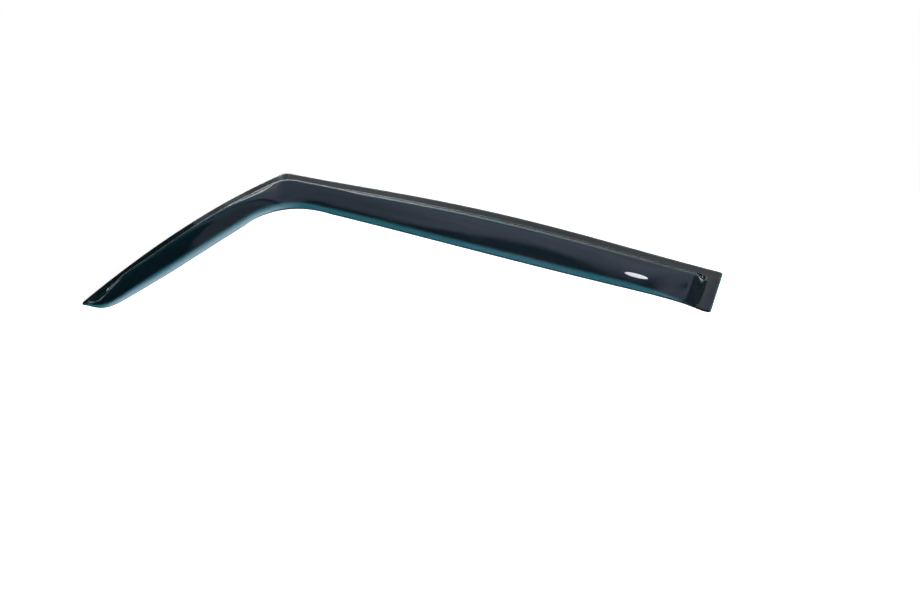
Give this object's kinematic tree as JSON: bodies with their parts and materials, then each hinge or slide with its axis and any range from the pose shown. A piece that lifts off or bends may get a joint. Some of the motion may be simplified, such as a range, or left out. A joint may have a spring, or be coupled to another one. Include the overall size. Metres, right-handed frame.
{
  "type": "window rain deflector",
  "caption": "Tinted acrylic rain deflector for a car's front side window, with a long top run, a leg down the windscreen pillar and foam mounting tape under its flange.",
  "frame": {"origin": "on the mounting face of the top tape, under the middle of the top run", "axes": "+X along the top run towards the rear end, +Y towards the top edge, +Z out of the mounting face, up as the part lies on a table"},
  "size_m": [0.9059, 0.4244, 0.0368],
  "materials": {
    "tinted_acrylic": "polished smoke blue acrylic sheet",
    "foam_tape": "matt closed-cell acrylic foam",
    "release_film": "thin red polyethylene film"
  },
  "bodies": {
    "root": {"visor": "tinted_acrylic", "top_tape": "foam_tape", "top_liner": "release_film", "pillar_tape": "foam_tape", "pillar_liner": "release_film", "rear_tape": "foam_tape", "rear_liner": "release_film"}
  },
  "joints": []
}
